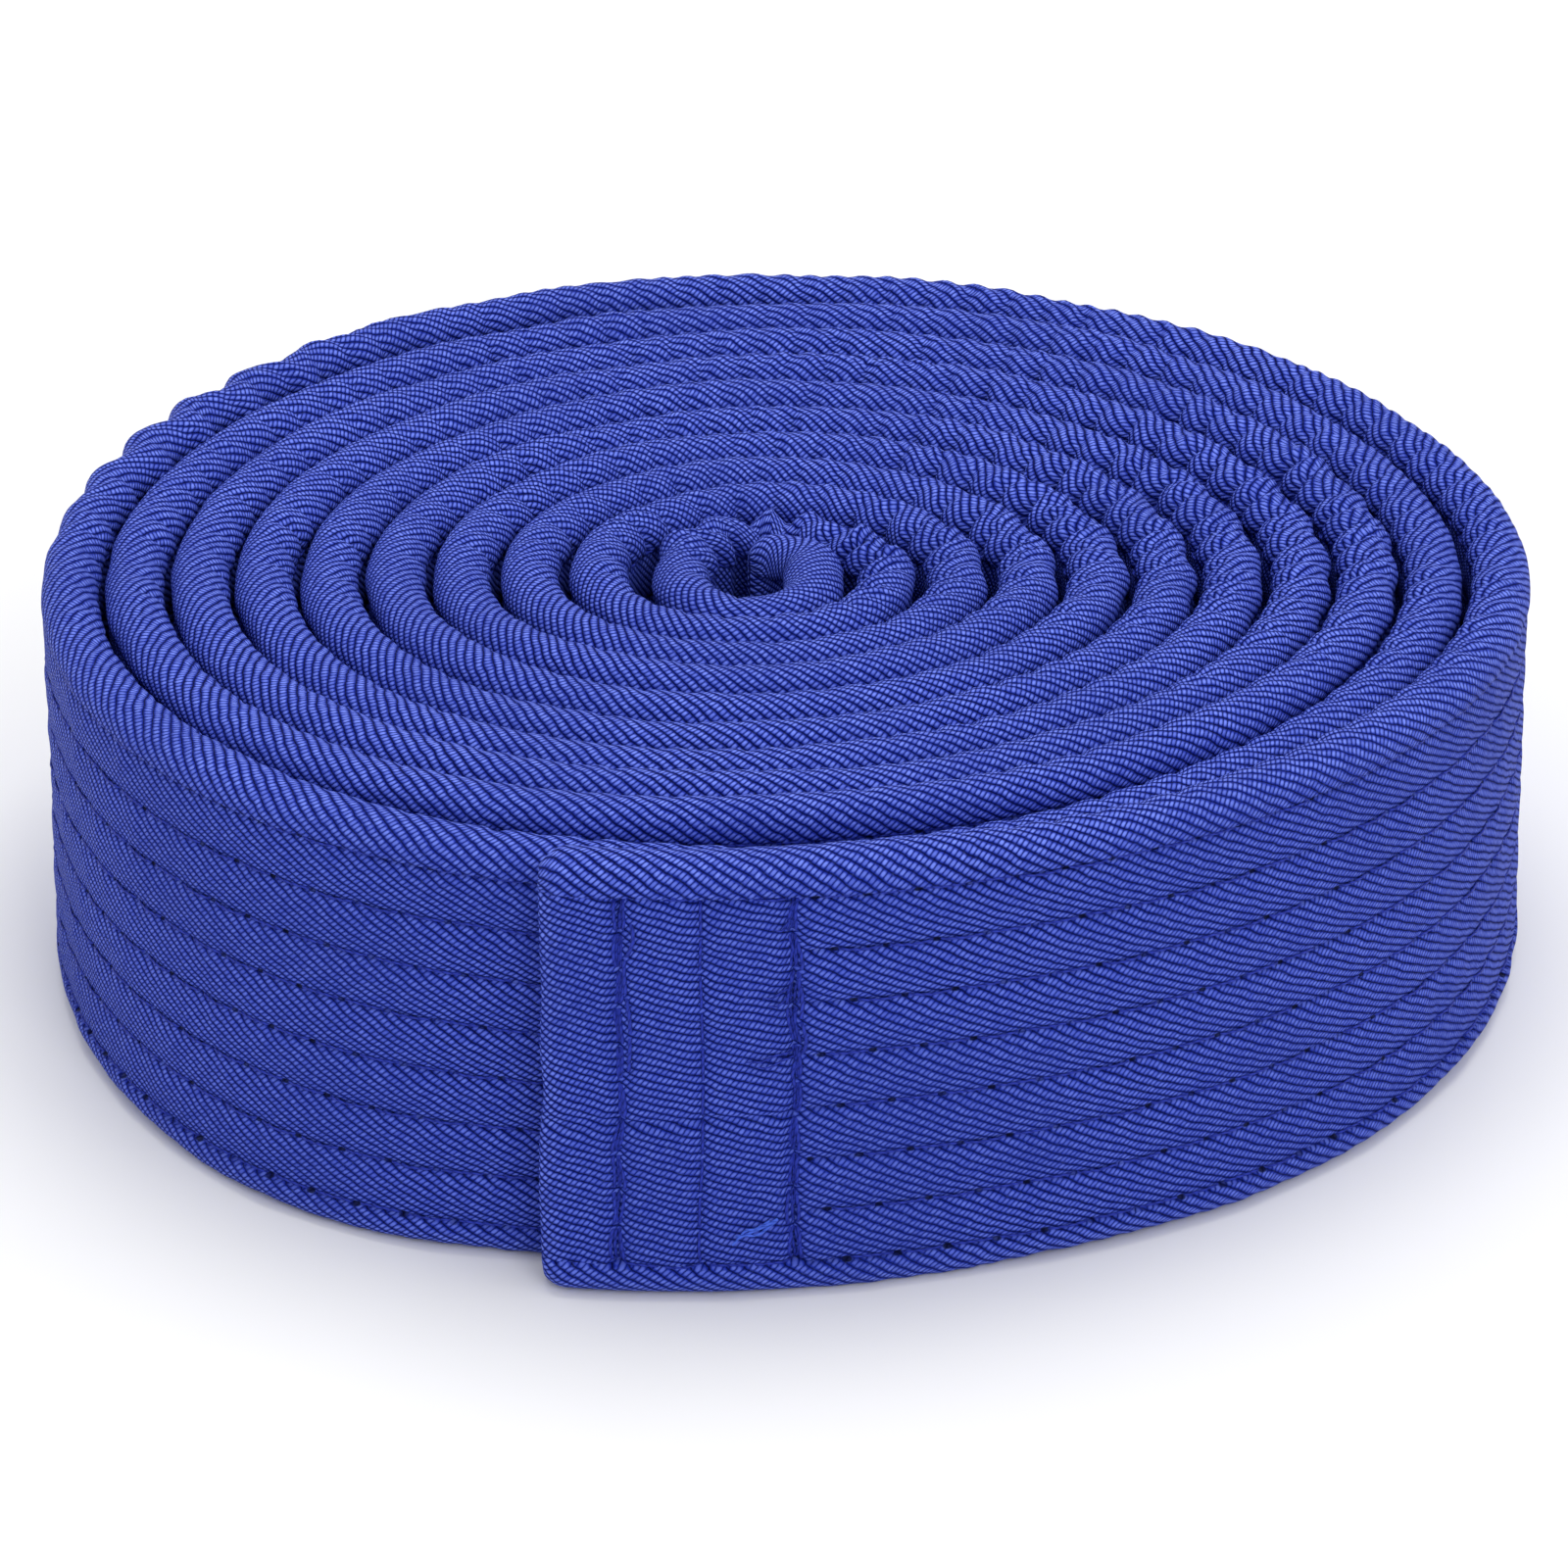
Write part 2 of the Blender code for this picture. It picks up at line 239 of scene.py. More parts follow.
def lean(wound, share):
    """How far out the belt stands at a share of its height: its foot flares at the left front,
    the right front and the tip, the free end leans in at the top, the slack stretch and the
    gathered laps ripple, and the eye folds inwards."""
    free = 1.0 - smoothstep(wound, 0.0, FREE_OVER)
    off = np.radians(OUTER_END_ANGLE + wound - FOOT_FLARE_TOWARDS)
    left_front = np.clip(np.cos(off), 0.0, 1.0) ** 6
    outermost = smoothstep(wound, 120.0, 220.0) * (1.0 - smoothstep(wound, 335.0, 385.0))
    right_front = np.exp(-(((wound - RIGHT_FLARE_AT) / RIGHT_FLARE_SPREAD) ** 2))
    tip = TIP_FLARE * (1.0 - smoothstep(wound, 0.0, TIP_FLARE_OVER))
    settled = FOOT_FLARE * outermost * left_front + RIGHT_FLARE * right_front + tip
    settled = settled * (1.0 - share)
    slack = np.exp(-(((wound - CRIMP_AT) / CRIMP_SPREAD) ** 2))
    crimp = CRIMP * slack * np.sin(length_at(wound) * 2 * np.pi / CRIMP_LENGTH) * share**2
    gathers = np.sin(length_at(wound) * np.pi / STITCH) * share**2
    crimp = crimp + WRINKLE_DEPTH * right_wrinkles(wound) * gathers
    crimp = crimp - EYE_FOLD_DEPTH * eye_folds(wound) * smoothstep(share, 0.35, 1.0)
    return free * (FREE_FOOT - FREE_LEAN * share) + settled + crimp


def place(length, out, height):
    """World points, in millimetres, of places on the belt."""
    wound = wound_at(length - TIP_REACH * (1.0 - smoothstep(length, 0.0, TIP_REACH_OVER)))
    along = middle_point(wound + 0.5) - middle_point(wound - 0.5)
    along /= np.linalg.norm(along, axis=-1, keepdims=True)
    share = height / BELT_WIDTH
    moved = out + lean(wound, share)
    points = middle_point(wound)
    x = points[..., 0] + along[..., 1] * moved
    y = points[..., 1] - along[..., 0] * moved
    set_back = SET_BACK + SET_BACK_MORE * share
    y = y + set_back * smoothstep(y, SET_BACK_OVER, -SET_BACK_OVER)
    return np.stack([x, y, np.maximum(height + rise(wound) * share, LOWEST)], -1)


# ---------------------------------------------------------------- the section


def tip_distance(length):
    """Distance to the nearer end of the belt."""
    return np.minimum(length, BELT_LENGTH - length)


def groove(distance, width):
    return np.exp(-((distance / width) ** 2))


def is_tab(length):
    return 1.0 - smoothstep(tip_distance(length), BOX_FAR - 0.6, BOX_FAR + 1.6)


def puckering(wound):
    """How strongly the cloth gathers on the inside of the bend, from 0 to 1."""
    angle = np.radians(OUTER_END_ANGLE + wound - PUCKERED_TOWARDS)
    return 0.25 + 0.75 * np.clip(0.5 + 0.5 * np.cos(angle), 0.0, 1.0)


def stagger(row, side):
    """The share of a stitch by which a row's needle holes are shifted, on either face."""
    return row * ROW_STAGGER + (0.0 if side > 0 else BOBBIN_STAGGER)


def face_half(length, height, side):
    """Half the belt's thickness on one of its faces."""
    rows = (height - ROW_LOW) / ROW_SPACING
    row = np.clip(np.round(rows), 0, ROW_COUNT - 1)
    puff = np.abs(np.sin(np.pi * rows)) ** 0.45
    stitches = length / STITCH + stagger(row, side)
    between_holes = np.abs(np.sin(np.pi * stitches))
    crown = CROWN_HALF + 0.10 * noise(length / 6.0, rows, 3) + 0.05 * between_holes
    root = ROW_HALF + 0.14 * between_holes
    quilted = root + (crown - root) * puff
    gathered = 0.22 * puckering(wound_at(length)) * (side < 0) * (between_holes - 0.5)
    quilted = quilted + gathered * (1.0 - 0.5 * puff)
    from_tip = tip_distance(length)
    tab = TAB_HALF
    in_height = smoothstep(height, 1.0, 3.0)
    for line, depth in BOX_GROOVES:
        tab = tab - depth * groove(from_tip - line - sewn_wander(line, height), 0.6) * in_height
    for near, far in ((BOX_NEAR, BOX_BAR), (BOX_BAR, BOX_FAR)):
        tab = tab + TAB_SWELL * np.sin(np.pi * np.clip((from_tip - near) / (far - near), 0, 1))
    in_box = smoothstep(from_tip, BOX_NEAR - 1.0, BOX_NEAR)
    edge_rows = groove(height - ROW_HIGH, 0.5) + groove(height - ROW_LOW, 0.5)
    tab = tab - 0.42 * edge_rows * (0.25 + 0.75 * in_box)
    seam = SEAM_HEIGHT - 0.2 + 1.2 * from_tip / BOX_FAR
    tab = tab - 0.6 * groove(height - seam, 0.42)
    near_far_line = smoothstep(from_tip, 17.0, 22.0)
    for crease in TAB_CREASES:
        tab = tab - 0.35 * near_far_line * groove(height - crease, 0.5)
    tab = tab + 0.22 * noise(length / 4.0, height / 4.5, 5)
    half = quilted + (tab - quilted) * is_tab(length)
    if side < 0:
        half = half - 0.35 * groove(height - SEAM_HEIGHT, 0.35)
    half = half + 0.09 * noise(length / 2.6, height / 2.2, 7)
    return half * tip_taper(length)


def sewn_wander(line, height):
    """How far a sewn line across the tab strays along the belt."""
    return 0.45 * noise(height / 5.0, 0.5 + 3.0 * np.round(line / 8.0), 43)


def tip_taper(length):
    """Brings the two faces together over the last stretch before each end."""
    share = np.clip(1.0 - tip_distance(length) / TIP_TAPER, 0.0, 1.0)
    return np.maximum(np.sqrt(1.0 - share**2), 0.06)


def rim_place(length, angle, top):
    """(out, height) on the piping along a long edge; angle runs from the outer face over."""
    wound = wound_at(length)
    pucker = puckering(wound) * (1.0 - is_tab(length))
    inside = smoothstep(np.cos(angle), 0.35, -0.6)
    stitches = np.abs(np.sin(np.pi * (length / STITCH + 0.5)))
    uneven = 0.8 + 0.5 * noise(length / STITCH, 0.5, 29)
    pleat = pucker * inside * (1.0 - stitches) ** 2 * uneven
    wave = length / 3.1 + 0.35 * angle + 0.45 * noise(length / 7.0, angle, 31)
    fold = pucker * uneven * np.sin(2 * np.pi * wave) * np.sin(angle) ** 2
    world = np.radians(OUTER_END_ANGLE + wound)
    fuller = 0.34 * np.clip(np.sin(world), 0.0, 1.0) + 0.14 * np.abs(np.cos(world))
    crumpled = 1.0 + 0.9 * smoothstep(wound, 2900.0, 3400.0) + 0.8 * right_wrinkles(wound)
    half = RIM_HALF + fuller + 0.16 * noise(length / 4.0, angle, 13)
    half = half - 1.35 * crumpled * pleat + 0.24 * fold
    radius = RIM_RADIUS + 0.28 * noise(length / 9.0, 0.5, 17)
    radius = radius + 0.22 * crumpled * fold - 0.95 * crumpled * pleat
    out = half * np.cos(angle) * tip_taper(length)
    from_tip = tip_distance(length)
    corner = CORNER_CUT * np.clip(1.0 - from_tip / CORNER_OVER, 0.0, 1.0) ** 2
    corner = corner if top else LOWER_CORNER * corner
    height = radius * np.sin(angle) - corner * np.clip(np.sin(angle) + 0.4, 0.0, 1.0)
    return out, (RIM_CENTRE + height) if top else (BELT_WIDTH - RIM_CENTRE - height)


class Section:
    """The points of one cross-section in order: up the outer face, over the top rim, down the
    inner face and back under the lower rim."""

    def __init__(self, fine):
        heights = []
        for puff in range(ROW_COUNT - 1):
            steps = FINE_PUFF if fine or puff == ROW_COUNT - 2 else COARSE_PUFF
            heights += [ROW_LOW + (puff + step) * ROW_SPACING for step in steps]
        self.heights = np.array(heights + [ROW_HIGH])
        lower_samples = RIM_SAMPLES if fine else LOW_RIM_SAMPLES
        self.top_angles = np.linspace(RIM_FROM, math.pi - RIM_FROM, RIM_SAMPLES)
        self.low_angles = np.linspace(math.pi - RIM_FROM, RIM_FROM, lower_samples)
        self.count = 2 * len(self.heights) + RIM_SAMPLES + lower_samples

    def places(self, length):
        """(out, height) of every point of the section at each length."""
        length = length[:, None]
        outs, heights = [], []
        for kind in ("outer", "top", "inner", "low"):
            if kind in ("outer", "inner"):
                side = 1 if kind == "outer" else -1
                height = self.heights[None, ::side]
                out = side * face_half(length, height, side)
                height = height + 0.0 * length
            else:
                angles = self.top_angles if kind == "top" else self.low_angles
                out, height = rim_place(length, angles[None, :], kind == "top")
            outs.append(out)
            heights.append(height)
        return np.concatenate(outs, 1), np.concatenate(heights, 1)

    def ribs(self):
        """The count of twill ribs passed, at both ends of each stretch between neighbouring
        points."""
        rows = (self.heights - ROW_LOW) / ROW_SPACING
        puff = np.floor(rows)
        share = rows - puff
        count = ROW_SPACING * (RIBS_STEEP * share + RIBS_FLAT * (1.0 - (1.0 - share) ** 2))
        face = puff * ROW_SPACING * (RIBS_STEEP + RIBS_FLAT) + count
        rim_rate = 1.0 / (RIB_ALONG * math.tan(RIM_SLOPE))
        return self.chain(face, rim_rate)

    def beads(self):
        """The same for the distance along the ribs, in millimetres."""
        return self.chain(self.heights * math.sin(FACE_SLOPE), math.sin(RIM_SLOPE))

    def tall(self):
        """The same for the plain distance round the section, in millimetres."""
        return self.chain(self.heights, 1.0)

    def chain(self, face, rim_rate):
        """A quantity followed right round the section, from its values up a face and its
        rate over a rim."""
        rim = lambda count: np.linspace(RIM_START, RIM_GIRTH, count) * rim_rate
        over = face[-1] + rim(len(self.top_angles))
        down = over[-1] + RIM_START * rim_rate + (face[-1] - face[::-1])
        under = down[-1] + rim(len(self.low_angles))
        start = np.concatenate([face, over, down, under])
        end = np.append(start[1:], under[-1] + RIM_START * rim_rate)
        return start, end


def grid(section, length):
    out, height = section.places(length)
    ripple = 0.5 * noise(height / 4.5, 0.5, 23) * np.clip(1.0 - length / 9.0, 0.0, 1.0)[:, None]
    return place(length[:, None] + ripple, out, height), height


def grid_normals(points):
    along = np.gradient(points, axis=0)
    around = np.roll(points, -1, 1) - np.roll(points, 1, 1)
    normals = np.cross(along, around)
    return normals / np.maximum(np.linalg.norm(normals, axis=-1, keepdims=True), 1e-9)


# ---------------------------------------------------------------- meshes


def make_mesh(name, points, faces, surface, uvs=(), attributes=(), normals=None):
    mesh = bpy.data.meshes.new(name)
    mesh.from_pydata((points * MM).tolist(), [], [list(face) for face in faces])
    mesh.shade_smooth()
    for layer, values in uvs:
        made = mesh.uv_layers.new(name=layer)
        made.data.foreach_set("uv", np.ascontiguousarray(values, np.float32).ravel())
    for label, values in attributes:
        made = mesh.attributes.new(label, "FLOAT", "POINT")
        made.data.foreach_set("value", np.ascontiguousarray(values, np.float32).ravel())
    mesh.materials.append(surface)
    if normals is not None:
        mesh.normals_split_custom_set_from_vertices(normals.tolist())
    obj = bpy.data.objects.new(name, mesh)
    bpy.context.scene.collection.objects.link(obj)
    return obj


TABLE_PITCH = np.interp(TABLE_WOUND, (0.0, 500.0, 3800.0), (RIB_ALONG, RIB_ALONG, RIB_AT_EYE))
TABLE_RIBS = np.concatenate(
    [[0.0], np.cumsum(np.diff(TABLE_LENGTH) / (0.5 * (TABLE_PITCH[1:] + TABLE_PITCH[:-1])))]
)


def ribs_at(length):
    return np.interp(length, TABLE_LENGTH, TABLE_RIBS)


def cloth_uvs(section, length, heights):
    """Twill coordinates (rib, bead) and stitch coordinates (stitch, rows off the nearest row)
    for the corners of every quad of a length of belt."""
    start, end = section.ribs()
    rib = ribs_at(length)
    n, m = len(length) - 1, section.count
    corners_l = np.stack([length[:-1], length[1:], length[1:], length[:-1]], -1)[:, None, :]
    corners_r = np.stack([rib[:-1], rib[1:], rib[1:], rib[:-1]], -1)[:, None, :]
    corners_of = lambda pair: np.stack([pair[0], pair[0], pair[1], pair[1]], -1)[None, :, :]
    twill = np.empty((n, m, 4, 2))
    twill[..., 0] = corners_r + corners_of((start, end))
    twill[..., 1] = (corners_l * math.cos(FACE_SLOPE) - corners_of(section.beads())) / BEAD
    middle = 0.5 * (length[:-1] + length[1:])
    tab = tip_distance(middle) < BOX_FAR
    faces = np.zeros(m, bool)
    count = len(section.heights)
    faces[: count - 1] = True
    faces[count + RIM_SAMPLES : 2 * count + RIM_SAMPLES - 1] = True
    tall = corners_of(section.tall())
    flat_rib = (corners_l * math.sin(TAB_SLOPE) + tall * math.cos(TAB_SLOPE)) / TAB_PITCH
    flat_bead = (corners_l * math.cos(TAB_SLOPE) - tall * math.sin(TAB_SLOPE)) / BEAD
    chosen = tab[:, None] & faces[None, :]
    twill[..., 0][chosen] = np.broadcast_to(flat_rib, (n, m, 4))[chosen]
    twill[..., 1][chosen] = np.broadcast_to(flat_bead, (n, m, 4))[chosen]

    upper = np.roll(heights, -1, 1)
    corners_h = np.stack([heights[:-1], heights[1:], upper[1:], upper[:-1]], -1)
    rows = (corners_h - ROW_LOW) / ROW_SPACING
    nearest = np.clip(np.round(rows.mean(-1)), 0, ROW_COUNT - 1)
    inner = np.zeros(m)
    inner[count + RIM_SAMPLES // 2 : 2 * count + RIM_SAMPLES] = BOBBIN_STAGGER
    stitch = np.empty((n, m, 4, 2))
    shift = nearest * ROW_STAGGER + inner[None, :]
    stitch[..., 0] = corners_l / STITCH + shift[..., None]
    stitch[..., 1] = rows - nearest[..., None]
    no_holes = tip_distance(middle) < ROWS_FROM
    stitch[no_holes, :, :, 1] = 1.0
    return twill, stitch


def belt_length(name, first, last, section, step, surface):
    """A closed piece of the quilted belt between two wound angles."""
    ends = length_at(first), length_at(last)
    count = max(int(round((ends[1] - ends[0]) / step)), 2)
    length = np.linspace(ends[0], ends[1], count + 1)
    if first <= 0.0:
        length = np.concatenate([[0.0, 0.12, 0.35], length[length > 0.5]])
    if last >= LAST_WOUND:
        closing = ends[1] - np.array([0.35, 0.12, 0.0])
        length = np.concatenate([length[length < ends[1] - 0.5], closing])
    before = [length[0] - step] if first > 0.0 else []
    after = [length[-1] + step] if last < LAST_WOUND else []
    wide = np.concatenate([before, length, after])
    points, heights = grid(section, wide)
    normals = grid_normals(points)
    inner = slice(len(before), len(before) + len(length))
    points, heights, normals = points[inner], heights[inner], normals[inner]
    n, m = len(length), section.count
    index = np.arange(n * m).reshape(n, m)
    beside = np.roll(index, -1, 1)
    quads = np.stack([index[:-1], index[1:], beside[1:], beside[:-1]], -1).reshape(-1, 4)
    count_face = len(section.heights)
    mirror_sum = 2 * count_face + RIM_SAMPLES - 1
    left = np.arange(0, mirror_sum // 2 + 1)
    cap = [(a, a + 1, mirror_sum - a - 1, mirror_sum - a) for a in left[:-1]]
    lower = m - mirror_sum - 1
    cap += [
        (m - 1 - k, (m - k) % m, mirror_sum + k, mirror_sum + k + 1) for k in range(lower // 2)
    ]
    cap = np.array([face for face in cap if len(set(face)) == 4])
    faces = np.concatenate([quads, cap, cap[:, ::-1] + (n - 1) * m])
    twill, stitch = cloth_uvs(section, length, heights)
    spare = np.zeros((2 * len(cap) * 4, 2))
    half = BELT_WIDTH / 2
    # near both long edges and at the tips the crests get a stronger painted highlight, standing
    # partly for wear and partly for the light on the rims
    wear = smoothstep(np.abs(heights - half), half - WORN_AND_HIGHLIT_EDGE, half)
    wear = np.maximum(wear, groove(tip_distance(length), WORN_AND_HIGHLIT_TIP)[:, None])
    return make_mesh(
        name,
        points.reshape(-1, 3),
        faces.tolist(),
        surface,
        [
            ("Cloth", np.concatenate([twill.reshape(-1, 2), spare])),
            ("Stitch", np.concatenate([stitch.reshape(-1, 2), spare + 1.0])),
        ],
        [("wear", wear)],
        normals.reshape(-1, 3),
    )


class Tubes:
    """Collects swept tubes into one mesh."""

    def __init__(self):
        self.points, self.faces, self.uvs, self.used = [], [], [], 0

    def add(self, path, upward, wide, tall, sides=6):
        """One closed tube along a path, wide across it and tall along the upward vectors."""
        along = np.gradient(path, axis=0)
        along /= np.maximum(np.linalg.norm(along, axis=1, keepdims=True), 1e-9)
        across = np.cross(along, upward)
        across /= np.maximum(np.linalg.norm(across, axis=1, keepdims=True), 1e-9)
        up = np.cross(across, along)
        turn = np.arange(sides) * 2 * math.pi / sides
        wide = np.broadcast_to(wide, len(path))[:, None, None]
        tall = np.broadcast_to(tall, len(path))[:, None, None]
        ring = across[:, None, :] * np.cos(turn)[None, :, None] * wide
        ring = ring + up[:, None, :] * np.sin(turn)[None, :, None] * tall
        points = (path[:, None, :] + ring).reshape(-1, 3)
        n = len(path)
        index = np.arange(n * sides).reshape(n, sides) + self.used
        beside = np.roll(index, -1, 1)
        quads = np.stack([index[:-1], beside[:-1], beside[1:], index[1:]], -1).reshape(-1, 4)
        self.faces += quads.tolist() + [index[0][::-1].tolist(), index[-1].tolist()]
        run = np.concatenate([[0.0], np.cumsum(np.linalg.norm(np.diff(path, axis=0), axis=1))])
        uv = np.empty((n - 1, sides, 4, 2))
        uv[..., 0] = np.stack([run[:-1], run[:-1], run[1:], run[1:]], -1)[:, None, :]
        turns = np.arange(sides) / sides
        uv[..., 1] = np.stack([turns, turns + 1 / sides, turns + 1 / sides, turns], -1)[None]
        self.uvs += [uv.reshape(-1, 2), np.zeros((2 * sides, 2))]
        self.points.append(points)
        self.used += n * sides

    def make(self, name, surface):
        uvs = [("Thread", np.concatenate(self.uvs))]
        return make_mesh(name, np.concatenate(self.points), self.faces, surface, uvs)


def outward_at(length, side):
    wound = wound_at(length)
    along = middle_point(wound + 0.5) - middle_point(wound - 0.5)
    along /= np.linalg.norm(along, axis=-1, keepdims=True)
    flat = np.stack([along[:, 1], -along[:, 0], np.zeros(len(along))], -1)
    return flat * side


STITCH_SAMPLES = np.array((0.0, 0.045, 0.11, 0.25, 0.5, 0.75, 0.89, 0.955))


def stitched(tubes, length, height, share, side, lift, wide, tall):
    """A line of lockstitch over the belt's face; share is how far through its stitch each
    sample lies."""
    from_hole = np.minimum(share, 1.0 - share)
    dive = 0.85 * (1.0 - smoothstep(from_hole, 0.0, 0.1))
    out = face_half(length, height, side) + lift + 0.05 + 0.07 * np.sin(np.pi * share) - dive
    path = place(length, side * out, height)
    tubes.add(path, outward_at(length, side), wide, tall)


def row_of_stitches(tubes, row, side, first, last):
    """The thread of one row between two lengths, from hole to hole."""
    shift = stagger(row, side)
    holes = np.arange(math.ceil(first / STITCH + shift), math.floor(last / STITCH + shift))
    share = np.tile(STITCH_SAMPLES, len(holes))
    length = (np.repeat(holes, len(STITCH_SAMPLES)) + share - shift) * STITCH
    rng = np.random.default_rng(100 + row * 2 + (side > 0))
    slant = np.repeat(rng.uniform(-0.16, 0.16, len(holes)), len(STITCH_SAMPLES))
    height = ROW_LOW + row * ROW_SPACING + slant * np.sin(np.pi * share)
    stitched(tubes, length, height, share, side, 0.0, ROW_THREAD_WIDE, ROW_THREAD_TALL)


def line_of_stitches(tubes, start, end, side, from_end, rng, wander, wide, stray):
    """Stitches between two (distance from the tip, height) places on an end tab."""
    start, end = np.array(start), np.array(end)
    count = max(int(round(np.linalg.norm(end - start) / BOX_STITCH)), 1)
    share = np.tile(STITCH_SAMPLES, count)
    run = (np.repeat(np.arange(count), len(STITCH_SAMPLES)) + share) / count
    path = start + (end - start) * run[:, None]
    direction = (end - start) / np.linalg.norm(end - start)
    off = np.repeat(rng.uniform(-1, 1, count), len(STITCH_SAMPLES)) * wander
    path = path + np.array([direction[1], -direction[0]]) * (off * np.sin(np.pi * share))[:, None]
    if abs(direction[1]) > 0.9:
        path[:, 0] += sewn_wander(start[0], path[:, 1])
        path[:, 0] += stray * noise(path[:, 1] / 3.4, 90.0 * rng.random(), 47)
    length = BELT_LENGTH - path[:, 0] if from_end else path[:, 0]
    lift = 0.12 * rng.random()
    stitched(tubes, length, path[:, 1], share, side, lift, wide, wide * 0.8)


def box_stitch(side, from_end, seed):
    """The box stitch of an end tab: messy doubled lines at its ends, a single bar between."""
    tubes = Tubes()
    rng = np.random.default_rng(seed)
    low, high = ROW_LOW, ROW_HIGH
    lines = []
    for line, passes in ((BOX_NEAR, 4), (BOX_BAR, 1), (BOX_FAR, 4)):
        for turn in range(passes):
            shift = 0.0 if passes == 1 else (turn - 1.5) * 0.14
            wander = 0.3 if passes > 1 else 0.08
            lines.append(((line + shift, high), (line + shift * 0.7, low), wander))
    lines.append(((BOX_NEAR + 0.7, high - 2.0), (BOX_NEAR + 0.9, 21.0), 0.5))
    lines.append(((BOX_FAR + 0.6, high - 8.0), (BOX_FAR + 0.2, 19.0), 0.5))
    lines.append(((BOX_NEAR, high), (BOX_FAR, high + 0.1), 0.15))
    lines.append(((BOX_NEAR, high + 0.3), (BOX_FAR, high - 0.2), 0.2))
    lines.append(((BOX_NEAR, low), (BOX_FAR, low), 0.15))
    for start, end, wander in lines:
        messy = wander > 0.2
        wide = 0.17 if messy else 0.14
        stray = 0.45 if messy else 0.05
        line_of_stitches(tubes, start, end, side, from_end, rng, wander, wide, stray)
    return tubes


def loose_end(tubes, places, wide=0.16):
    """A cut thread end lying on the outer tab, through (length, height, lift) places."""
    places = np.array(places, float)
    steps = np.linspace(0, len(places) - 1, 8 * (len(places) - 1) + 1)
    knots = np.arange(len(places))
    soft = [np.interp(steps, knots, places[:, k]) for k in range(3)]
    kernel = np.hanning(9)
    kernel /= kernel.sum()
    soft = [np.convolve(np.pad(line, 4, mode="edge"), kernel, "valid") for line in soft]
    length, height, lift = soft
    path = place(length, face_half(length, height, 1) + lift, height)
    taper = wide * np.linspace(1.0, 0.65, len(path))
    tubes.add(path, outward_at(length, 1), taper, taper * 0.8)


def dark_loose_ends(tubes):
    """The cut ends and stray loops beside the far sewn line."""
    for height, reach in ((22.6, 4.2), (22.1, 3.2), (28.3, 2.8), (27.6, 2.2), (34.4, 1.6)):
        knots = [
            (BOX_FAR - reach * knot / 3.0, height - 0.25 * knot + 0.3 * (knot % 2), 0.25)
            for knot in range(4)
        ]
        loose_end(tubes, knots, 0.12)


# ---------------------------------------------------------------- materials

# The darkest twill colour is painted shade in the weave's valleys and along the stitch creases, and
# darker tone at random; the lightest is a painted highlight on the crests and lighter specks at
# random; the needle-hole colour is painted shade.
TWILL_SHADE_AND_DARK_TONE = (0.0003, 0.0025, 0.095, 1.0)
TWILL_BODY = (0.016, 0.039, 0.470, 1.0)
TWILL_HIGHLIGHT_AND_SPECKS = (0.190, 0.275, 1.0, 1.0)
NEEDLE_HOLE_SHADE = (0.001, 0.002, 0.02, 1.0)
THREAD_DARK, THREAD_LIGHT = (0.005, 0.012, 0.16, 1.0), (0.024, 0.044, 0.42, 1.0)
END_DARK, END_LIGHT = (0.02, 0.06, 0.42, 1.0), (0.07, 0.15, 0.78, 1.0)
FLOOR_DARK, FLOOR_LIGHT = (0.93, 0.93, 0.93, 1.0), (0.95, 0.95, 0.95, 1.0)
TWILL_BUMP, THREAD_BUMP = 0.00046, 0.00006


class Nodes:
    """A node tree that is built by calls."""

    def __init__(self, name):
        self.material = bpy.data.materials.new(name)
        self.material.use_nodes = True
        self.tree = self.material.node_tree
        self.shader = self.tree.nodes["Principled BSDF"]

    def link(self, source, target):
        self.tree.links.new(source, target)

    def put(self, target, value):
        if isinstance(value, bpy.types.NodeSocket):
            self.link(value, target)
        else:
            target.default_value = value

    def new(self, kind, **settings):
        node = self.tree.nodes.new(kind)
        for key, value in settings.items():
            setattr(node, key, value)
        return node

    def math(self, operation, *values):
        node = self.new("ShaderNodeMath", operation=operation)
        for socket, value in zip(node.inputs, values):
            self.put(socket, value)
        return node.outputs[0]

    def ramp(self, value, low, high, bottom=0.0, top=1.0):
        node = self.new("ShaderNodeMapRange", interpolation_type="SMOOTHSTEP")
        for socket, number in zip(node.inputs, (value, low, high, bottom, top)):
            self.put(socket, number)
        return node.outputs[0]

    def mix(self, share, first, second):
        node = self.new("ShaderNodeMix", data_type="RGBA")
        self.put(node.inputs["Factor"], share)
        self.put(node.inputs["A"], first)
        self.put(node.inputs["B"], second)
        return node.outputs["Result"]

    def noise(self, scale, detail, vector):
        node = self.new("ShaderNodeTexNoise")
        node.inputs["Scale"].default_value = scale
        node.inputs["Detail"].default_value = detail
        self.link(vector, node.inputs["Vector"])
        return node.outputs["Fac"]

    def uv(self, name):
        split = self.new("ShaderNodeSeparateXYZ")
        self.link(self.new("ShaderNodeUVMap", uv_map=name).outputs[0], split.inputs[0])
        return split.outputs[0], split.outputs[1]

    def place(self):
        return self.new("ShaderNodeTexCoord").outputs["Object"]

    def round_bar(self, value):
        """A rounded ridge over each unit of a coordinate."""
        across = self.math("MULTIPLY_ADD", self.math("FRACT", value), 2.0, -1.0)
        return self.math("SQRT", self.math("SUBTRACT", 1.0, self.math("POWER", across, 2.0)))

    def bump(self, height, distance):
        node = self.new("ShaderNodeBump")
        node.inputs["Strength"].default_value = 1.0
        node.inputs["Distance"].default_value = distance
        self.link(height, node.inputs["Height"])
        return node.outputs[0]


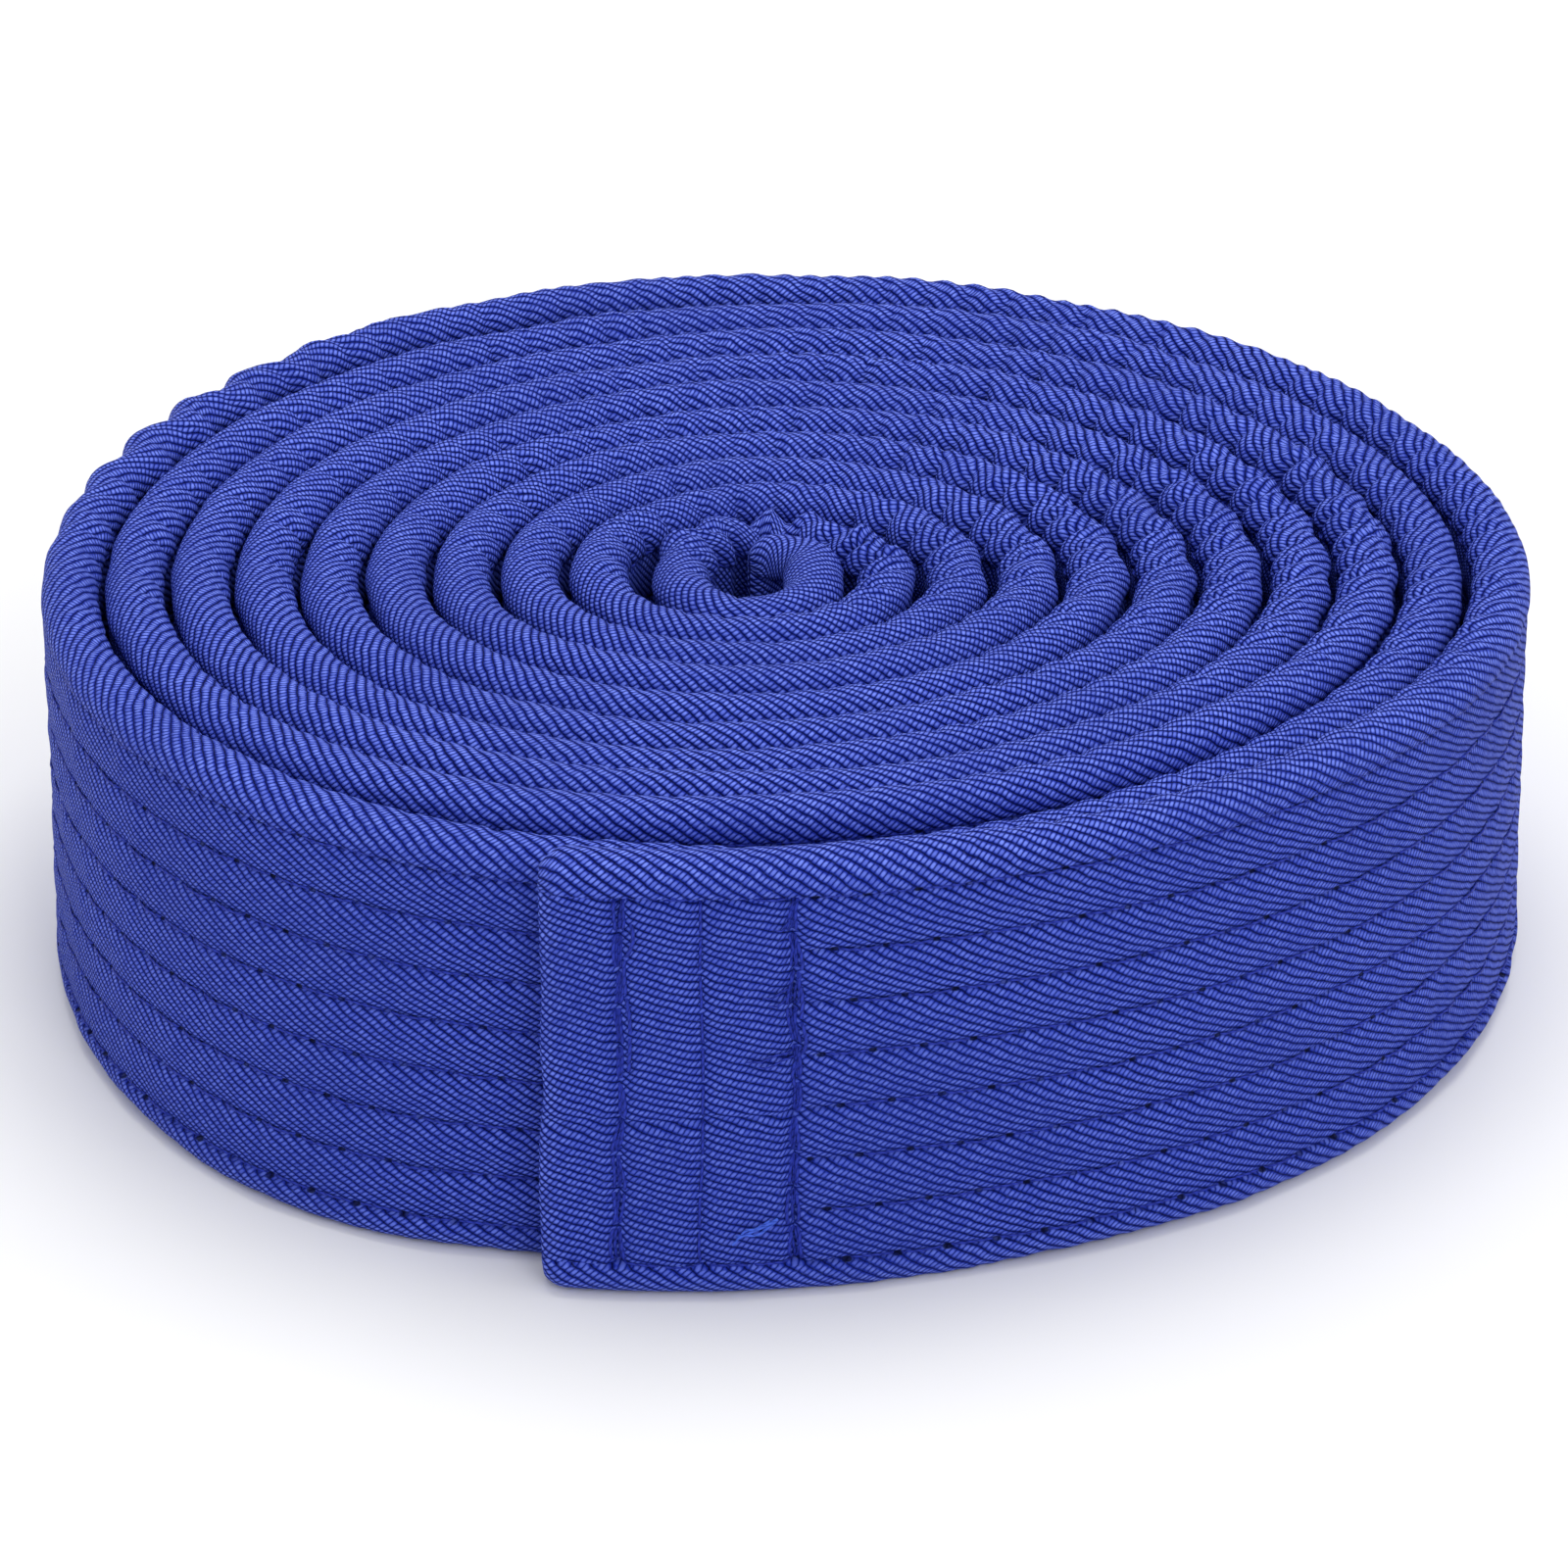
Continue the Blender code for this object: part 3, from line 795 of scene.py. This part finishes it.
def twill_material():
    """Blue cotton twill: slanted ribs of short beaded floats, with painted shade in the valleys and
    a painted highlight on the crests that is stronger along the rims and at the tips, partly for
    wear and partly for light; painted shade along the stitch creases and in the needle holes."""
    t = Nodes("cover_twill")
    rib, bead = t.uv("Cloth")
    stitch, rows = t.uv("Stitch")
    place_on = t.place()
    wander = t.math("MULTIPLY_ADD", t.noise(520.0, 3.0, place_on), 0.6, -0.3)
    rib = t.math("ADD", rib, wander)
    number = t.math("FLOOR", rib)
    skewed = t.math("MULTIPLY_ADD", t.math("FRACT", rib), -0.62, bead)
    beads = t.math("MULTIPLY_ADD", number, 0.5, skewed)
    ridge = t.round_bar(rib)
    float_ridge = t.round_bar(beads)
    height = t.math("MULTIPLY", ridge, t.math("MULTIPLY_ADD", float_ridge, 0.60, 0.40))
    which = t.new("ShaderNodeCombineXYZ")
    t.link(number, which.inputs[0])
    t.link(t.math("FLOOR", beads), which.inputs[1])
    chance = t.new("ShaderNodeTexWhiteNoise", noise_dimensions="2D")
    t.link(which.outputs[0], chance.inputs["Vector"])

    along = t.math("FRACT", stitch)
    nearest = t.math("MULTIPLY", t.math("MINIMUM", along, t.math("SUBTRACT", 1.0, along)), STITCH)
    off_row = t.math("MULTIPLY", rows, ROW_SPACING)
    each = t.new("ShaderNodeTexWhiteNoise", noise_dimensions="1D")
    t.link(t.math("ROUND", stitch), each.inputs["W"])
    across = t.math("MULTIPLY", off_row, 2.4)
    squares = t.math("ADD", t.math("POWER", nearest, 2.0), t.math("POWER", across, 2.0))
    hole = t.math(
        "MULTIPLY",
        t.ramp(squares, 0.27, 0.06),
        t.ramp(each.outputs["Value"], 0.2, 0.7, 0.2, 1.0),
    )
    # painted shade in the crease along each stitch row
    row_crease_shade = t.ramp(t.math("ABSOLUTE", off_row), 0.45, 0.1)

    cloudy = t.noise(55.0, 4.0, place_on)
    fine = t.noise(2600.0, 2.0, place_on)
    wear = t.new("ShaderNodeAttribute", attribute_name="wear").outputs["Fac"]
    worn = t.math("MULTIPLY_ADD", cloudy, 0.5, -0.12)
    # painted shade: the twill is coloured darkest in the valleys between ribs and floats and lighter
    # up their sides, shifted at random by the cloudy noise
    colour = t.mix(t.ramp(t.math("ADD", height, worn), 0.28, 0.84), TWILL_SHADE_AND_DARK_TONE, TWILL_BODY)
    # painted highlight on the crests of the floats, varied at random from bead to bead
    bright = t.math("MULTIPLY", t.ramp(height, 0.62, 0.98), t.math("MULTIPLY_ADD", wear, 0.45, 0.66))
    picked = t.math("MULTIPLY_ADD", chance.outputs["Value"], 0.45, 0.50)
    colour = t.mix(t.math("MULTIPLY", bright, picked), colour, TWILL_HIGHLIGHT_AND_SPECKS)
    colour = t.mix(t.math("MULTIPLY", t.ramp(cloudy, 0.35, 0.7), 0.16), colour, TWILL_SHADE_AND_DARK_TONE)
    colour = t.mix(t.math("MULTIPLY", t.ramp(fine, 0.5, 0.8), 0.15), colour, TWILL_HIGHLIGHT_AND_SPECKS)
    # painted shade along the stitch creases
    colour = t.mix(t.math("MULTIPLY", row_crease_shade, 0.22), colour, TWILL_SHADE_AND_DARK_TONE)
    # painted shade in the needle holes, which are also pitted in the bump
    colour = t.mix(t.math("MULTIPLY", hole, 0.9), colour, NEEDLE_HOLE_SHADE)
    t.link(colour, t.shader.inputs["Base Color"])
    t.link(t.ramp(height, 0.2, 1.0, 0.85, 0.5), t.shader.inputs["Roughness"])
    t.shader.inputs["Sheen Weight"].default_value = 0.03
    t.shader.inputs["Sheen Roughness"].default_value = 0.45
    t.shader.inputs["Sheen Tint"].default_value = (0.35, 0.45, 1.0, 1.0)
    t.shader.inputs["Specular IOR Level"].default_value = 0.08
    pit = t.math("MULTIPLY", hole, -1.2)
    surface = t.math("ADD", t.math("MULTIPLY_ADD", fine, 0.15, height), pit)
    t.link(t.bump(surface, TWILL_BUMP), t.shader.inputs["Normal"])
    return t.material


def thread_material(name, dark, light):
    """Twisted sewing thread, with painted shade between its strands and lighter ridges on them."""
    t = Nodes(name)
    run, turn = t.uv("Thread")
    twist = t.math("ADD", t.math("MULTIPLY", run, 1.15), t.math("MULTIPLY", turn, 2.0))
    strand = t.round_bar(twist)
    mottled = t.noise(900.0, 2.0, t.place())
    # painted shade between the strands and painted light on their ridges, mottled at random
    lit = t.ramp(strand, 0.2, 1.0, 0.3, 1.0)
    shade = t.math("MULTIPLY", lit, t.ramp(mottled, 0.3, 0.7, 0.7, 1.0))
    t.link(t.mix(shade, dark, light), t.shader.inputs["Base Color"])
    t.shader.inputs["Roughness"].default_value = 0.5
    t.shader.inputs["Sheen Weight"].default_value = 0.02
    t.shader.inputs["Specular IOR Level"].default_value = 0.12
    t.link(t.bump(strand, THREAD_BUMP), t.shader.inputs["Normal"])
    return t.material


def floor_material():
    t = Nodes("studio_floor")
    shade = t.ramp(t.noise(3.0, 2.0, t.place()), 0.3, 0.7)
    t.link(t.mix(shade, FLOOR_DARK, FLOOR_LIGHT), t.shader.inputs["Base Color"])
    t.shader.inputs["Roughness"].default_value = 0.9
    t.shader.inputs["Specular IOR Level"].default_value = 0.1
    return t.material


# ---------------------------------------------------------------- the belt


def nodes_with(*words):
    return [name for name in sorted(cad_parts) if all(word in name for word in words)]


def on_roll(obj, *replaced):
    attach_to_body(obj, "roll")
    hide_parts(*replaced)


def on_tail(obj, *replaced):
    """Bakes the piece's placement into its mesh and hides the imported parts it replaces."""
    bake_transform(obj)
    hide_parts(*replaced)


def build_cloth(surface):
    fine, coarse = Section(True), Section(False)
    tail = belt_length("belt_tail", 0.0, TAIL_TO, fine, FINE_STEP, surface)
    on_tail(tail, "cover_tail", *nodes_with("core_ply", "_tail"))
    spans = [(TAIL_TO, 250.0), (250.0, FINE_TO)]
    start = FINE_TO
    while start < LAST_WOUND:
        stop = start + 360.0 if start + 500.0 < LAST_WOUND else LAST_WOUND
        spans.append((start, stop))
        start = stop
    for number, (first, last) in enumerate(spans):
        section, step = (fine, FINE_STEP) if last <= FINE_TO else (coarse, COARSE_STEP)
        piece = belt_length("belt_roll_%d" % (number + 1), first, last, section, step, surface)
        on_roll(piece, *(["cover_roll"] + nodes_with("core_ply", "_roll") if number == 0 else []))


def build_rows(surface):
    split = float(length_at(BLEND_FROM))
    for side, kind, full_to in ((1, "needle", FINE_TO), (-1, "bobbin", BOBBIN_TO)):
        tail, roll = Tubes(), Tubes()
        for row in range(ROW_COUNT):
            row_of_stitches(tail, row, side, ROWS_FROM, split)
            last = BELT_LENGTH - ROWS_FROM if row == ROW_COUNT - 1 else float(length_at(full_to))
            row_of_stitches(roll, row, side, split, last)
        for tubes, body, attach in ((tail, "tail", on_tail), (roll, "roll", on_roll)):
            piece = tubes.make("%s_threads_%s" % (kind, body), surface)
            attach(piece, *nodes_with("row_", kind, "_" + body))


def build_boxes(surface, bright):
    for side, kind in ((1, "needle"), (-1, "bobbin")):
        for end, attach in (("outer", on_tail), ("inner", on_roll)):
            name = "%s_end_box_%s" % (end, kind)
            tubes = box_stitch(side, end == "inner", len(name) * 7 + side)
            if end == "outer" and side > 0:
                dark_loose_ends(tubes)
            piece = tubes.make(name + "_stitches", surface)
            attach(piece, name + "_thread")
    ends = Tubes()
    loose_end(ends, [(20.6, 7.6, 0.1), (19.0, 7.0, 0.6), (17.6, 6.4, 0.5), (16.9, 6.2, 0.3)])
    loose_end(ends, [(20.4, 7.4, 0.1), (18.8, 6.3, 0.5), (17.4, 6.5, 0.7), (16.6, 5.4, 0.4)])
    loose_end(ends, [(19.9, 7.5, 0.2), (18.7, 6.9, 0.5), (17.7, 6.9, 0.6), (17.2, 6.0, 0.4)])
    piece = ends.make("loose_thread_ends", bright)
    on_tail(piece)


# ---------------------------------------------------------------- studio

# Metres and degrees down from level; the camera is fitted to the photo's outline
CAMERA_LENS = 156.6
CAMERA_PLACE = (-0.0006, -0.596143, 0.320328)
CAMERA_PITCH = 27.10
FLOOR_HALF = 4.0
FLOOR_DROP = 0.02


def build_studio():
    camera = bpy.data.cameras.new("camera")
    camera.sensor_width = 36.0
    camera.lens = CAMERA_LENS
    camera.clip_start = 0.01
    view = bpy.data.objects.new("camera", camera)
    view.location = CAMERA_PLACE
    view.rotation_euler = (math.radians(90.0 - CAMERA_PITCH), 0.0, 0.0)
    bpy.context.scene.collection.objects.link(view)
    bpy.context.scene.camera = view
    bpy.context.scene.view_settings.view_transform = "Standard"

    corners = np.array([(-1, -1, 0), (1, -1, 0), (1, 1, 0), (-1, 1, 0)]) * FLOOR_HALF
    floor_points = corners / MM - (0, 0, FLOOR_DROP)
    floor = make_mesh("floor", floor_points, [(0, 1, 2, 3)], floor_material())

    world = bpy.data.worlds.new("studio")
    world.use_nodes = True
    world.node_tree.nodes["Background"].inputs["Color"].default_value = (1.0, 1.0, 1.0, 1.0)
    world.node_tree.nodes["Background"].inputs["Strength"].default_value = 0.75
    bpy.context.scene.world = world
    lamps = (
        ("overhead", (0.1, 0.35, 1.3), 0.9, 7.5),
        ("front", (0.5, -1.2, 0.9), 0.6, 4.0),
    )
    for name, location, size, power in lamps:
        light = bpy.data.lights.new(name, "AREA")
        light.size = size
        light.energy = power
        lamp = bpy.data.objects.new(name, light)
        lamp.location = location
        lamp.rotation_euler = (-Vector(location)).to_track_quat("-Z", "Y").to_euler()
        bpy.context.scene.collection.objects.link(lamp)


build_studio()
twill = twill_material()
thread = thread_material("stitching_thread", THREAD_DARK, THREAD_LIGHT)
thread_end = thread_material("bright_thread_end", END_DARK, END_LIGHT)
build_cloth(twill)
build_rows(thread)
build_boxes(thread, thread_end)
